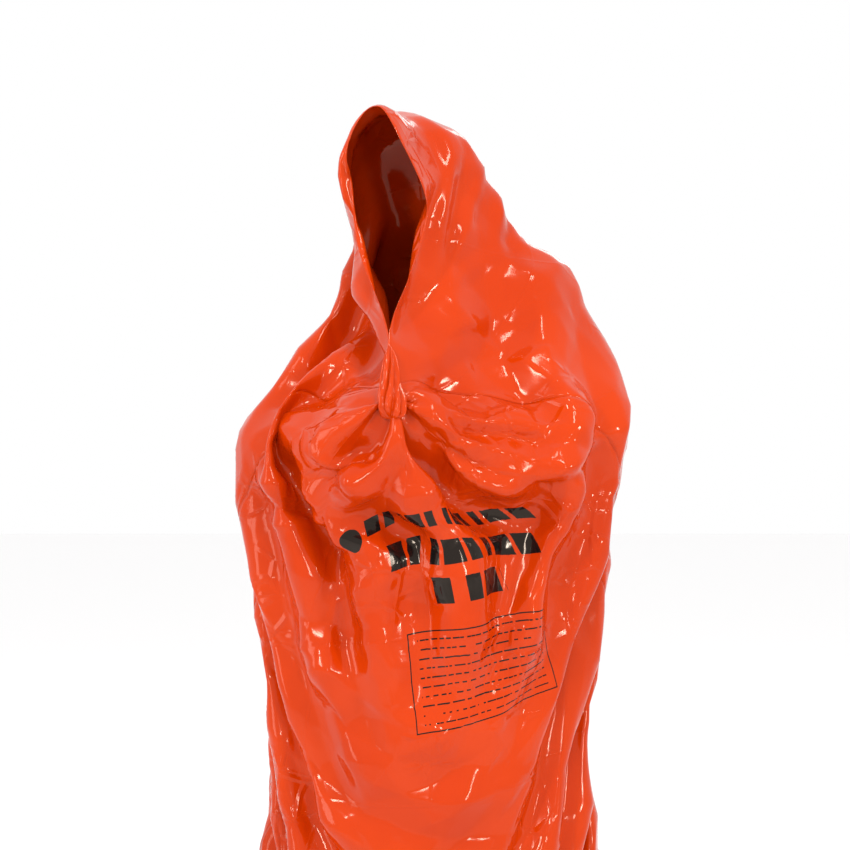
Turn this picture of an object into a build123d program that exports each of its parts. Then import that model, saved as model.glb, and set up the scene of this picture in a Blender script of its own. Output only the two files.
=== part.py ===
from build123d import *

import os
from math import cos, pi, radians, sin

# Polythene survival bag (bivy sack) standing open in use: a film tube welded shut at the foot end, with its
# mouth drawn over the head as a hood and bunched in front of the chest.
#
# Millimetres. +Z is up, the printed front faces -Y, and the origin is the middle of the foot end on the ground.
# The real film is one seamless tube. It is divided here along its side folds and its bends, so that the inside
# stays open for collision and the hood can fold back. FILM_WALL stands in for film of 0.09 mm.

# ---- driving dimensions -------------------------------------------------------------------------------------
FLAT_WIDTH = 900.0  # width of the empty bag laid flat
STANDING_HEIGHT = 1573.0  # ground to the top of the hood
FILM_WALL = 2.0
CROWN_WALL = 2.5  # over the top of the head
INK_STANDOFF = 0.6  # thickness that stands in for the printed ink
WELD_WIDTH = 12.0  # heat-sealed band along the foot end
WELD_HEIGHT = 3.0
GROUND_FILM = 3.0  # film lying on the ground under the feet

# Rings of the standing tube, named for the part of the wearer beside them. Each gives its height as a share of
# STANDING_HEIGHT, its left, right, front and back extents as shares of FLAT_WIDTH, and its squareness.
RINGS = {
    "sole": (0.000, -0.478, 0.478, -0.150, 0.150, 1.75),
    "ankle": (0.035, -0.453, 0.453, -0.189, 0.187, 1.85),
    "shin": (0.102, -0.383, 0.383, -0.229, 0.222, 1.95),
    "calf": (0.223, -0.309, 0.307, -0.259, 0.247, 2.05),
    "knee": (0.401, -0.284, 0.279, -0.279, 0.254, 2.10),
    "thigh": (0.509, -0.311, 0.312, -0.293, 0.252, 2.10),
    "hip": (0.601, -0.327, 0.332, -0.312, 0.248, 2.10),
    "forearm": (0.658, -0.333, 0.341, -0.330, 0.240, 2.10),
    "elbow": (0.696, -0.317, 0.340, -0.334, 0.230, 2.10),
    "upper_arm": (0.725, -0.271, 0.324, -0.328, 0.221, 2.10),
    "chest": (0.757, -0.217, 0.307, -0.308, 0.210, 2.10),
    "armpit": (0.788, -0.183, 0.289, -0.279, 0.192, 2.10),
    "shoulder": (0.826, -0.156, 0.261, -0.250, 0.170, 2.10),
    "nape": (0.855, -0.149, 0.222, -0.232, 0.154, 2.10),
    "jaw": (0.880, -0.144, 0.151, -0.221, 0.141, 2.05),
    "cheek": (0.909, -0.146, 0.107, -0.212, 0.130, 2.00),
    "temple": (0.941, -0.150, 0.073, -0.199, 0.117, 2.00),
    "brow": (0.969, -0.144, 0.052, -0.181, 0.094, 2.00),
    "scalp": (0.989, -0.128, 0.022, -0.152, 0.066, 2.00),
    "crown": (1.000, -0.101, -0.013, -0.110, 0.027, 2.00),
}
RING_POINTS = 16

# Levels at which the film is divided.
FLARE = "calf"
WAIST = "hip"
SHOULDERS = "chest"
COLLAR = "nape"
HOOD_TOP = "temple"

# Face opening of the hood, pointed at the top and at the throat, seen along the way the wearer looks.
FACING = 35.0  # degrees that the wearer looks to the left of the printed front, as seen from the front
OPENING_CENTRE = (0.0, -50.0)
OPENING_HALF_WIDTH = 76.0
OPENING_TOP_DROP = 13.0  # below the top of the hood
OPENING_WIDEST_DROP = 5.0  # below the cheek ring
OPENING_THROAT_RISE = 46.0  # above the chest ring

# Mouth of the bag bunched in front of the chest.
GATHER_X = -55.0
GATHER_RING = "upper_arm"
GATHER_ROLL_RADIUS = 26.0
GATHER_NECK_RADIUS = 13.0
GATHER_NECK_LENGTH = 96.0
GATHER_NECK_GROOVE = 0.72  # radius at the bottom of a pleat, as a share of the radius at its top
GATHER_NECK_FLARE = 3.0  # degrees that the neck widens upwards
GATHER_LEAN = 40.0  # degrees that the neck leans back along the chest
GATHER_PLEATS = 7

# Printed block on the front, measured down from the waist and across from the middle.
PRINT_X = 66.0
BAR_DROPS = (14.0, 68.0, 122.0)
BAR_HEIGHTS = (34.0, 42.0, 42.0)
BAR_WIDTHS = (252.0, 240.0, 118.0)
DISC_RADIUS = 20.0
DISC_GAP = 12.0
NOTICE_DROP = 182.0
NOTICE_WIDTH = 212.0
NOTICE_HEIGHT = 140.0
NOTICE_LINE = 3.0
NOTICE_MARGIN = 16.0
RULE_COUNT = 8
RULE_HEIGHT = 4.0
SHORT_RULE_CUT = 46.0  # every third rule is this much shorter

REACH = 2000.0  # longer than the bag, for cutting boxes
PARTS = "parts"


# ---- rings and levels ---------------------------------------------------------------------------------------
def level(ring):
    """Height of a named ring."""
    return RINGS[ring][0] * STANDING_HEIGHT


def ring_frame(ring, inset):
    """Middle and half sizes of a named ring, drawn in by inset."""
    left, right, front, back = (share * FLAT_WIDTH for share in RINGS[ring][1:5])
    middle = ((left + right) / 2, (front + back) / 2)
    half = ((right - left) / 2 - inset, (back - front) / 2 - inset)
    return middle, half


def ring_wire(ring, inset):
    """Closed curve of a named ring: a superellipse."""
    middle, half = ring_frame(ring, inset)
    bend = 2 / RINGS[ring][5]
    points = []
    for k in range(RING_POINTS):
        angle = 2 * pi * (k + 0.5) / RING_POINTS
        c, s = cos(angle), sin(angle)
        x = middle[0] + half[0] * abs(c) ** bend * (1 if c > 0 else -1)
        y = middle[1] + half[1] * abs(s) ** bend * (1 if s > 0 else -1)
        points.append(Vector(x, y, level(ring)))
    return Wire([Edge.make_spline(points, periodic=True)])


def front_of(ring, x):
    """How far forward a named ring reaches at x."""
    middle, half = ring_frame(ring, 0)
    power = RINGS[ring][5]
    return middle[1] - half[1] * (1 - abs((x - middle[0]) / half[0]) ** power) ** (1 / power)


def tube(inset):
    """The whole standing form, drawn in by inset, as one closed solid."""
    return Solid.make_loft([ring_wire(ring, inset) for ring in RINGS])


# ---- cutting shapes -----------------------------------------------------------------------------------------
def slab(low, high):
    """Everything between two heights."""
    return Pos(0, 0, (low + high) / 2) * Box(REACH, REACH, high - low)


def quadrant(side):
    """A quarter of space about the bag's axis, between the diagonals."""
    turn = {"right": 0, "back": 90, "left": 180, "front": 270}[side]
    wedge = Polygon((0, 0), (REACH, -REACH), (REACH, REACH), align=None)
    return Rot(0, 0, turn) * (Pos(0, 0, -REACH / 2) * extrude(wedge, REACH * 2))


def face_opening():
    """A prism through the hood, along the way the wearer looks."""
    top = STANDING_HEIGHT - OPENING_TOP_DROP
    widest = level("cheek") - OPENING_WIDEST_DROP
    throat = level(SHOULDERS) + OPENING_THROAT_RISE
    above = ThreePointArc(
        (0, top),
        (OPENING_HALF_WIDTH * 0.78, (top + widest) / 2),
        (OPENING_HALF_WIDTH, widest),
    )
    below = Spline(
        (OPENING_HALF_WIDTH, widest),
        (OPENING_HALF_WIDTH * 0.6, (widest + throat) / 2),
        (0, throat),
    )
    half = above + below
    outline = make_face(half + mirror(half, about=Plane.YZ))
    turn = radians(FACING)
    looking = Plane(
        origin=(*OPENING_CENTRE, 0),
        x_dir=(cos(turn), -sin(turn), 0),
        z_dir=(-sin(turn), -cos(turn), 0),
    )
    return extrude(looking * outline, REACH / 4)


# ---- pieces -------------------------------------------------------------------------------------------------
def film_zones(form, inner):
    """The standing film, divided at its levels and, but for the neck and the crown, into four sides."""
    hollow = inner & slab(0, STANDING_HEIGHT - CROWN_WALL)
    film = form - hollow - face_opening()
    flare, waist, shoulders = level(FLARE), level(WAIST), level(SHOULDERS)
    collar, hood_top = level(COLLAR), level(HOOD_TOP)
    bands = {
        "foot_{}_panel": film & slab(0, flare),
        "lower_{}_panel": film & slab(flare, waist),
        "upper_{}_panel": film & slab(waist, shoulders),
        "hood_{}": film & slab(collar, hood_top),
    }
    zones = {}
    for name, band in bands.items():
        for side in ("front", "back", "left", "right"):
            zones[name.format(side)] = band & quadrant(side)
    zones["neck_drape"] = film & slab(shoulders, collar)
    zones["hood_crown"] = film & slab(hood_top, STANDING_HEIGHT)
    return zones


def foot_end(inner):
    """The film under the feet, and the weld across it that joins the front to the back."""
    apart = REACH / 2 + WELD_WIDTH / 2
    ground = Box(REACH, REACH, GROUND_FILM)
    return {
        "foot_film_front": inner & (Pos(0, -apart, GROUND_FILM / 2) * ground),
        "foot_film_back": inner & (Pos(0, apart, GROUND_FILM / 2) * ground),
        "foot_weld": inner & (Pos(0, 0, WELD_HEIGHT / 2) * Box(REACH, WELD_WIDTH, WELD_HEIGHT)),
    }


def mouth_gather(form):
    """The bunched mouth: a roll the size of a fist, and a pleated neck that leans back along the chest."""
    outline = []
    for k in range(2 * GATHER_PLEATS):
        radius = GATHER_NECK_RADIUS * (1 if k % 2 else GATHER_NECK_GROOVE)
        angle = pi * k / GATHER_PLEATS
        outline.append((radius * cos(angle), radius * sin(angle)))
    neck = extrude(make_face(Polyline(*outline, close=True)), GATHER_NECK_LENGTH, taper=-GATHER_NECK_FLARE)
    bunch = Sphere(GATHER_ROLL_RADIUS) + Rot(-GATHER_LEAN, 0, 0) * neck
    place = Pos(GATHER_X, front_of(GATHER_RING, GATHER_X), level(GATHER_RING))
    return place * bunch - form


def bars():
    """Three plain headline bars."""
    waist = level(WAIST)
    return [
        Pos(PRINT_X, waist - drop - height / 2) * Rectangle(width, height)
        for drop, height, width in zip(BAR_DROPS, BAR_HEIGHTS, BAR_WIDTHS)
    ]


def disc():
    """A plain disc at the left end of the first bar."""
    x = PRINT_X - BAR_WIDTHS[0] / 2 - DISC_GAP - DISC_RADIUS
    return [Pos(x, level(WAIST) - BAR_DROPS[0] - BAR_HEIGHTS[0] / 2) * Circle(DISC_RADIUS)]


def notice_middle():
    """Height of the middle of the notice."""
    return level(WAIST) - NOTICE_DROP - NOTICE_HEIGHT / 2


def notice_frame():
    """The thin outline round the notice."""
    outer = Rectangle(NOTICE_WIDTH, NOTICE_HEIGHT)
    inner = Rectangle(NOTICE_WIDTH - 2 * NOTICE_LINE, NOTICE_HEIGHT - 2 * NOTICE_LINE)
    return [Pos(PRINT_X, notice_middle()) * (outer - inner)]


def notice_rules():
    """Plain rules that fill the notice."""
    pitch = (NOTICE_HEIGHT - 2 * NOTICE_MARGIN) / (RULE_COUNT - 1)
    top = notice_middle() + NOTICE_HEIGHT / 2 - NOTICE_MARGIN
    rules = []
    for k in range(RULE_COUNT):
        width = NOTICE_WIDTH - 2 * NOTICE_MARGIN - (SHORT_RULE_CUT if k % 3 == 2 else 0)
        rules.append(Pos(PRINT_X, top - k * pitch) * Rectangle(width, RULE_HEIGHT))
    return rules


def printed_ink(form):
    """Flat shapes laid on the front of the tube."""
    bottom = notice_middle() - NOTICE_HEIGHT / 2 - NOTICE_MARGIN
    before = Pos(0, -REACH / 4, 0) * Box(REACH, REACH / 2, REACH)
    skin = (tube(-INK_STANDOFF) & slab(bottom, level(WAIST)) & (Pos(0, 0, bottom) * before)) - form
    shapes = {
        "print_bars": bars(),
        "print_disc": disc(),
        "notice_frame": notice_frame(),
        "notice_rules": notice_rules(),
    }
    return {
        name: [skin & extrude(Plane.XZ * shape, REACH / 4) for shape in group]
        for name, group in shapes.items()
    }


def main():
    form, inner = tube(0), tube(FILM_WALL)
    pieces = {
        **film_zones(form, inner),
        **foot_end(inner),
        "mouth_gather": mouth_gather(form),
        **printed_ink(form),
    }
    os.makedirs(PARTS, exist_ok=True)
    for name, shape in pieces.items():
        group = shape if isinstance(shape, list) else [shape]
        solids = [solid for item in group for solid in item.solids()]
        whole = solids[0] if len(solids) == 1 else Compound(children=solids)
        export_step(whole, f"{PARTS}/{name}.step")


main()
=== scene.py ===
import math

import bmesh
import bpy
import numpy as np
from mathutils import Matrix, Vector


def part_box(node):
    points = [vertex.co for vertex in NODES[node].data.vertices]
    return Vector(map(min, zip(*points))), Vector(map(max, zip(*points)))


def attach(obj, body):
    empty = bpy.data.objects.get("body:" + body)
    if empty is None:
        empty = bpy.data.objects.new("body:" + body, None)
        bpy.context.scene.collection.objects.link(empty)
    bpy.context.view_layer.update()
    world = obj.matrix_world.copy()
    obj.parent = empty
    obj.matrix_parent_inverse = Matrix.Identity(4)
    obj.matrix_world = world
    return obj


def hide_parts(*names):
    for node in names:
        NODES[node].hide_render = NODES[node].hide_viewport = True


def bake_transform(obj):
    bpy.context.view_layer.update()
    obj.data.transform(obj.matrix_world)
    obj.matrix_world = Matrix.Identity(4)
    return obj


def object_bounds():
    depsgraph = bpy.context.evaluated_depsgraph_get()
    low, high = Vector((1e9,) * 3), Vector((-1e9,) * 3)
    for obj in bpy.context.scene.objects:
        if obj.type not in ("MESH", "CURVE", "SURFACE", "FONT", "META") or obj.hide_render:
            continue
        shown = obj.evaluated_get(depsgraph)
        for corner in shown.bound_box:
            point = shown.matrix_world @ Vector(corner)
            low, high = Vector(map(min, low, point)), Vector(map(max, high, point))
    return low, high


bl_info = {
    "name": "Survival bag, standing open",
    "version": (1, 0, 0),
    "blender": (4, 5, 0),
    "location": "3D View > Sidebar > Survival Bag",
    "description": "Drapes, prints and finishes the film of a survival bag that stands round its wearer",
    "category": "Object",
}

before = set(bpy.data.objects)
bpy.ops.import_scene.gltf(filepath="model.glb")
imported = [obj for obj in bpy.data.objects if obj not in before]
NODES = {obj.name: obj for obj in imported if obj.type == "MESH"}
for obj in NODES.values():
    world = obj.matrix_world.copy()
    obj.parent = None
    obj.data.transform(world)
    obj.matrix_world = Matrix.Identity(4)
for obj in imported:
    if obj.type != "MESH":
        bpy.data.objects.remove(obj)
CAD_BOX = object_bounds()
SIDES = ("front", "back", "left", "right")
STANDING_NODES = [f"{zone}_{side}_panel" for zone in ("foot", "lower", "upper") for side in SIDES]
HOOD_NODES = [f"hood_{side}" for side in SIDES] + ["hood_crown"]
FILM_NODES = STANDING_NODES + ["neck_drape"] + HOOD_NODES
INK_NODES = ["print_bars", "print_disc", "notice_frame", "notice_rules"]
GRAVITY = 9.81
TAU = 2 * math.pi
GROUND_GAP = 0.001  # least height of the film's points


# ---- settings ------------------------------------------------------------------------------------
class FilmSettings(bpy.types.PropertyGroup):
    flat_width: bpy.props.FloatProperty(
        name="Flat width", description="Width of the empty bag laid flat", default=0.90, unit="LENGTH")
    flat_length: bpy.props.FloatProperty(
        name="Flat length", description="Weld to mouth, laid flat", default=1.84, unit="LENGTH")
    thickness: bpy.props.FloatProperty(
        name="Thickness", description="Film thickness drawn, a few times the real 0.09 mm", default=0.0004,
        unit="LENGTH")
    underfoot: bpy.props.FloatProperty(
        name="Under the feet", description="Film that lies on the ground on each side of the weld",
        default=0.13, unit="LENGTH")
    waist: bpy.props.FloatProperty(
        name="Waist", description="Height up to which the film stands on its own folds", default=1.0,
        unit="LENGTH")
    standing_slack: bpy.props.FloatProperty(
        name="Standing slack", description="Share of the height that goes into small crumples",
        default=0.03, subtype="FACTOR")
    crumple: bpy.props.FloatProperty(
        name="Crumple", description="Uneven growth of the film that makes it buckle", default=0.020,
        subtype="FACTOR")


class FinishSettings(bpy.types.PropertyGroup):
    orange: bpy.props.StringProperty(
        name="Orange", description="Film colour, sRGB hex", default="#bf3502")
    deep_orange: bpy.props.StringProperty(
        name="Deep orange", description="Film colour where less light comes through it, sRGB hex",
        default="#b42f02")
    ink: bpy.props.StringProperty(name="Ink", description="Printed ink, sRGB hex", default="#14100f")
    roughness: bpy.props.FloatProperty(
        name="Roughness", description="Gloss of the film", default=0.10, subtype="FACTOR")
    pressed_fold: bpy.props.FloatProperty(
        name="Pressed folds", description="Spacing of the folds left by packing", default=0.225,
        unit="LENGTH")


class PrintSettings(bpy.types.PropertyGroup):
    middle: bpy.props.FloatProperty(
        name="Middle", description="Middle of the print, from the left side fold", default=0.528,
        unit="LENGTH")
    top: bpy.props.FloatProperty(
        name="Top", description="Top of the headline, from the weld", default=1.090, unit="LENGTH")
    headline_width: bpy.props.FloatProperty(
        name="Headline width", description="Width of the first line", default=0.35, unit="LENGTH")
    disc_height: bpy.props.FloatProperty(
        name="Disc height", description="Height of the disc beside the headline", default=0.040,
        unit="LENGTH")
    notice_width: bpy.props.FloatProperty(
        name="Notice width", description="Width of the framed notice", default=0.250, unit="LENGTH")
    notice_height: bpy.props.FloatProperty(
        name="Notice height", description="Height of the framed notice", default=0.128, unit="LENGTH")
    turn: bpy.props.FloatProperty(
        name="Turn", description="How far the print is turned on the film", default=0.09, subtype="ANGLE")


class StageSettings(bpy.types.PropertyGroup):
    lens: bpy.props.FloatProperty(name="Lens", description="Focal length in mm", default=95.0)
    distance: bpy.props.FloatProperty(
        name="Distance", description="Camera to the bag", default=3.36, unit="LENGTH")
    elevation: bpy.props.FloatProperty(
        name="Elevation", description="How far the camera looks down, in degrees", default=3.0)
    aim: bpy.props.FloatVectorProperty(
        name="Aim", description="Point in the middle of the picture", default=(-0.0075, -0.1, 1.084),
        subtype="XYZ", unit="LENGTH")
    floor: bpy.props.StringProperty(name="Floor", description="Floor colour, sRGB hex", default="#fbfafa")


# ---- small helpers -------------------------------------------------------------------------------
def settings():
    """The settings of this scene."""
    return bpy.context.scene.survival_bag


def linear(hex_colour, alpha=1.0):
    """An sRGB hex colour as linear red, green, blue and alpha."""
    parts = [int(hex_colour[k:k + 2], 16) / 255 for k in (1, 3, 5)]
    return [p / 12.92 if p <= 0.04045 else ((p + 0.055) / 1.055) ** 2.4 for p in parts] + [alpha]


def smooth(x):
    """Zero below 0, one above 1, and between them three squares less two cubes, an even bend."""
    x = np.clip(x, 0, 1)
    return x * x * (3 - 2 * x)


def through(stations, at):
    """A smooth line through stations (place, value, value, ...), read at the places in at: cubic Hermite
    spans whose slopes are central differences."""
    table = np.asarray(stations, float)
    place, values = table[:, 0], table[:, 1:]
    k = np.clip(np.searchsorted(place, at, side="right") - 1, 0, len(place) - 2)
    span = place[k + 1] - place[k]
    f = ((at - place[k]) / span)[..., None]
    slope = np.gradient(values, place, axis=0)
    d0, d1 = slope[k] * span[..., None], slope[k + 1] * span[..., None]
    return (values[k] * (2 * f**3 - 3 * f**2 + 1) + d0 * (f**3 - 2 * f**2 + f)
            + values[k + 1] * (3 * f**2 - 2 * f**3) + d1 * (f**3 - f**2))


def grid_faces(rows, columns, closed=False):
    """Quads of a grid of rows by columns, numbered row by row, facing along rows x columns."""
    across = columns if closed else columns - 1
    i, j = np.meshgrid(np.arange(rows - 1), np.arange(across), indexing="ij")
    a, b = i * columns + j, i * columns + (j + 1) % columns
    return np.stack([a, b, b + columns, a + columns], -1).reshape(-1, 4)


def make_piece(name, points, faces, material, uv=None):
    """An object at the origin from an array of points and one of quads, smooth shaded, with its own UV map
    given point by point."""
    mesh = bpy.data.meshes.new(name)
    mesh.vertices.add(len(points))
    mesh.vertices.foreach_set("co", points.astype(np.float32).ravel())
    mesh.loops.add(faces.size)
    mesh.loops.foreach_set("vertex_index", faces.ravel().astype(np.int32))
    mesh.polygons.add(len(faces))
    mesh.polygons.foreach_set("loop_start", np.arange(0, faces.size, faces.shape[1], dtype=np.int32))
    mesh.update(calc_edges=True)
    mesh.validate()
    mesh.shade_smooth()
    if uv is not None:
        layer = mesh.uv_layers.new(name="flat")
        layer.data.foreach_set("uv", uv[faces.ravel()].astype(np.float32).ravel())
    mesh.materials.append(material)
    piece = bpy.data.objects.new(name, mesh)
    bpy.context.scene.collection.objects.link(piece)
    return piece


def close_poles(piece):
    """Merges each ring of points that has shrunk to one place, so that the surface is closed there."""
    shape = bmesh.new()
    shape.from_mesh(piece.data)
    bmesh.ops.remove_doubles(shape, verts=shape.verts, dist=1e-5)
    shape.to_mesh(piece.data)
    shape.free()


# ---- the space the film stands round -------------------------------------------------------------
def envelope_of(nodes):
    """Left, right, front and back extents of CAD nodes at even heights: each edge that crosses a height is
    cut there, and the cuts' extremes are kept. Returns the heights and an array of four extents."""
    bottom = min(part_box(name)[0][2] for name in nodes)
    heights = np.linspace(bottom + GROUND_GAP, CAD_BOX[1][2] - CROWN_ROUND, ENVELOPE_ROWS)
    extents = np.tile([np.inf, -np.inf, np.inf, -np.inf], (len(heights), 1))
    for name in nodes:
        mesh = NODES[name].data
        co = np.empty(len(mesh.vertices) * 3)
        mesh.vertices.foreach_get("co", co)
        co = co.reshape(-1, 3)
        ends = np.empty(len(mesh.edges) * 2, np.int32)
        mesh.edges.foreach_get("vertices", ends)
        a, b = co[ends[::2]], co[ends[1::2]]
        a, b = np.where((a[:, 2] > b[:, 2])[:, None], b, a), np.where((a[:, 2] > b[:, 2])[:, None], a, b)
        first = np.searchsorted(heights, a[:, 2])
        last = np.searchsorted(heights, b[:, 2])
        for shift in range(int((last - first).max())):
            crossing = first + shift < last
            row = (first + shift)[crossing]
            low, high = a[crossing], b[crossing]
            f = (heights[row] - low[:, 2]) / (high[:, 2] - low[:, 2])
            at = low[:, :2] + (high - low)[:, :2] * f[:, None]
            np.minimum.at(extents[:, 0], row, at[:, 0])
            np.maximum.at(extents[:, 1], row, at[:, 0])
            np.minimum.at(extents[:, 2], row, at[:, 1])
            np.maximum.at(extents[:, 3], row, at[:, 1])
    return heights, extents


CROWN_ROUND = 0.018  # height of the crown's round top, which the wearer's head shapes and not the envelope
ENVELOPE_ROWS = 160
HEIGHTS, EXTENTS = envelope_of(FILM_NODES)
SQUARENESS = 2.1  # power of the superellipse that the standing form's sections follow


def section(z):
    """Middle and half sizes of the standing form at each height z, as x, y, half x, half y."""
    left, right, front, back = (np.interp(z, HEIGHTS, EXTENTS[:, k]) for k in range(4))
    return (left + right) / 2, (front + back) / 2, (right - left) / 2, (back - front) / 2


# The wearer's place, as rounded rods: two ends and the radius at each, from the feet up. Only the film
# feels them. The wearer is turned to the bag's left, with both hands at the bunched mouth.
WEARER_RODS = [
    ((-0.100, 0.020, 0.040), (-0.085, 0.030, 0.860), 0.055, 0.095),
    ((0.100, 0.000, 0.040), (0.095, 0.030, 0.860), 0.055, 0.095),
    ((-0.020, 0.030, 0.880), (0.000, 0.040, 1.120), 0.140, 0.115),
    ((0.070, 0.030, 0.880), (0.080, 0.030, 1.120), 0.140, 0.120),
    ((-0.070, 0.060, 1.235), (0.150, 0.010, 1.265), 0.050, 0.065),
    ((-0.080, 0.050, 1.210), (-0.242, -0.010, 1.045), 0.045, 0.050),
    ((-0.242, -0.010, 1.045), (-0.150, -0.150, 1.062), 0.050, 0.046),
    ((-0.150, -0.150, 1.062), (-0.090, -0.205, 1.085), 0.046, 0.034),
    ((0.160, 0.000, 1.265), (0.252, -0.070, 1.065), 0.062, 0.050),
    ((0.252, -0.070, 1.065), (0.120, -0.165, 1.062), 0.050, 0.046),
    ((0.120, -0.165, 1.062), (-0.010, -0.215, 1.085), 0.046, 0.034),
    ((-0.090, -0.215, 1.095), (-0.018, -0.217, 1.095), 0.034, 0.034),
    ((0.000, 0.030, 1.250), (-0.040, -0.010, 1.420), 0.055, 0.055),
    ((-0.046, -0.018, 1.455), (-0.024, -0.020, 1.474), 0.088, 0.090),
    ((-0.075, -0.060, 1.400), (-0.078, -0.066, 1.450), 0.045, 0.050),
]
ROD_BLEND = 0.018  # how softly one rod runs into the next

# The edge of the face opening, from the bunched mouth up the right side, over the brow and down the left:
# place round the tube in turns, then x, y, z. The right edge laps over the left below the throat.
FACE_EDGE = [
    (0.500, -0.050, -0.272, 1.140),
    (0.548, -0.070, -0.248, 1.228),
    (0.580, -0.042, -0.220, 1.288),
    (0.645, -0.003, -0.192, 1.400),
    (0.700, -0.040, -0.175, 1.490),
    (0.750, -0.092, -0.150, 1.557),
    (0.790, -0.126, -0.108, 1.505),
    (0.842, -0.120, -0.108, 1.400),
    (0.905, -0.092, -0.165, 1.298),
    (0.947, -0.060, -0.232, 1.232),
    (1.000, -0.056, -0.262, 1.140),
]
BUNCH = np.array([-0.055, -0.266, 1.125])
BUNCH_HALF_WIDTH = 0.022
PLEATED_TURN, LEAVING_TURN = 0.21, 0.04  # half the pleated part of the mouth, and its run out to the edge
PLEAT_DEPTH, PLEAT_HEIGHT = 0.006, 0.004

# Share of the film's length that the hands leave outside the bunch, by place round the tube in turns. The
# rest is drawn into them.
KEPT = [(-0.10, 0.930), (0.00, 0.850), (0.12, 0.740), (0.25, 0.680), (0.38, 0.735), (0.50, 0.905),
        (0.60, 0.985), (0.75, 0.980), (0.90, 0.930), (1.00, 0.850), (1.12, 0.740)]


# ---- the film as a sheet of points ---------------------------------------------------------------
# The tube is a grid: rows run from the weld to the mouth, columns run round it. A place round the tube is
# in turns: 0 is the left side fold and 0.5 the right one.
FRONT, BACK = 0.25, 0.75  # the middle of the front and of the back


def from_middle(turn, middle):
    """Turns between a place and the middle of the front or back, the short way round."""
    return np.abs((turn - middle + 0.5) % 1 - 0.5)


def kept_share(turn):
    """Share of the flat length left outside the hands, by place round the tube."""
    return through(KEPT, np.mod(turn, 1.0))[..., 0]


def mouth_line(turn):
    """The mouth's edge: the back follows the face opening, and the front lies pleated in the bunch."""
    edge = through(FACE_EDGE, np.clip(np.where(turn < FRONT, turn + 1, turn), 0.5, 1))
    side = np.clip((turn - FRONT) / 0.25, -1, 1)
    pleats = np.stack([side * BUNCH_HALF_WIDTH, -PLEAT_DEPTH * np.cos(side * 22),
                       PLEAT_HEIGHT * np.sin(side * 31)], -1)
    opened = np.clip((np.abs(turn - FRONT) - PLEATED_TURN) / LEAVING_TURN, 0, 1)
    opened = np.where(turn < 0.5, opened, 1)[:, None]
    return (BUNCH + pleats) * (1 - opened) + edge * opened


def round_section(height, columns):
    """Places round the standing form's section at each row's mean height, evenly spaced by arc: the section
    is sampled every half degree, its chords are summed, and the angle is read back at even shares of it."""
    angle = np.linspace(-math.pi, math.pi, 721)
    even = np.arange(columns) / columns
    _, _, hx, hy = section(height)
    chords = np.hypot(np.diff(hx[:, None] * np.cos(angle), axis=1),
                      np.diff(hy[:, None] * np.sin(angle), axis=1))
    run = np.concatenate([np.zeros((len(hx), 1)), np.cumsum(chords, axis=1)], axis=1)
    return np.stack([np.interp(even * row[-1], row, angle) for row in run])


def standing_guide(rows, columns):
    """The tube opened round the wearer before it drapes. Each point's height is its length along the film,
    less what lies on the ground between the weld and the section's edge; its section is the standing form's
    ellipse, spaced evenly by arc; near the mouth it runs into the mouth's edge."""
    film = settings().film
    turn = np.tile(np.arange(columns) / columns, (rows, 1))
    share = np.tile(np.linspace(0, 1, rows)[:, None], (1, columns))
    length = share * film.flat_length * kept_share(turn)
    angle = round_section(np.clip(length.mean(axis=1) - film.underfoot, 0, GUIDE_TOPS[0]), columns)
    underfoot = SIDE_UNDERFOOT + (film.underfoot - SIDE_UNDERFOOT) * np.abs(np.sin(angle))
    rise = np.clip(length - underfoot, 0, None) * (1 - film.standing_slack)
    to_front = np.clip(0.5 - FRONT_SPREAD * np.sin(angle), 0, 1)
    over = np.clip(rise - film.waist, 0, None)
    height = np.minimum(rise, film.waist) + over * (1 - FRONT_SINKS * to_front)
    height = np.minimum(height, GUIDE_TOPS[0] * (1 - to_front) + GUIDE_TOPS[1] * to_front)
    mx, my, hx, hy = section(height)
    height = height + LEAN * to_front * hx * np.cos(angle) * smooth(height / LEAN_HEIGHT)
    valleys = np.zeros_like(angle)
    for place, depth, spread in VALLEYS:
        valleys += depth * np.exp(-((from_middle(turn, place) / spread) ** 2))
    valleys = valleys * smooth(height / VALLEY_RISE) * (1 - smooth((height - VALLEY_END) / VALLEY_FADE))
    drawn_in = 1 - valleys / np.hypot(hx, hy)
    body = np.stack([mx + hx * np.cos(angle) * drawn_in, my + hy * np.sin(angle) * drawn_in, height], -1)
    half = film.flat_width / 2
    weld = np.where(turn < 0.5, -half + 4 * half * turn, half - 4 * half * (turn - 0.5)) * WELD_DRAW
    flat = np.stack([weld, np.zeros_like(weld), np.full_like(weld, WELD_HEIGHT)], -1)
    lifted = np.clip(length / underfoot, 0, 1)[..., None]
    body = flat * (1 - lifted) + body * lifted
    mouth = mouth_line(turn[0])
    drawn = (np.clip((share - DRAWN_FROM) / (1 - DRAWN_FROM), 0, 1) ** DRAWN_POWER)[..., None]
    return body * (1 - drawn) + mouth * drawn, mouth


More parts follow.
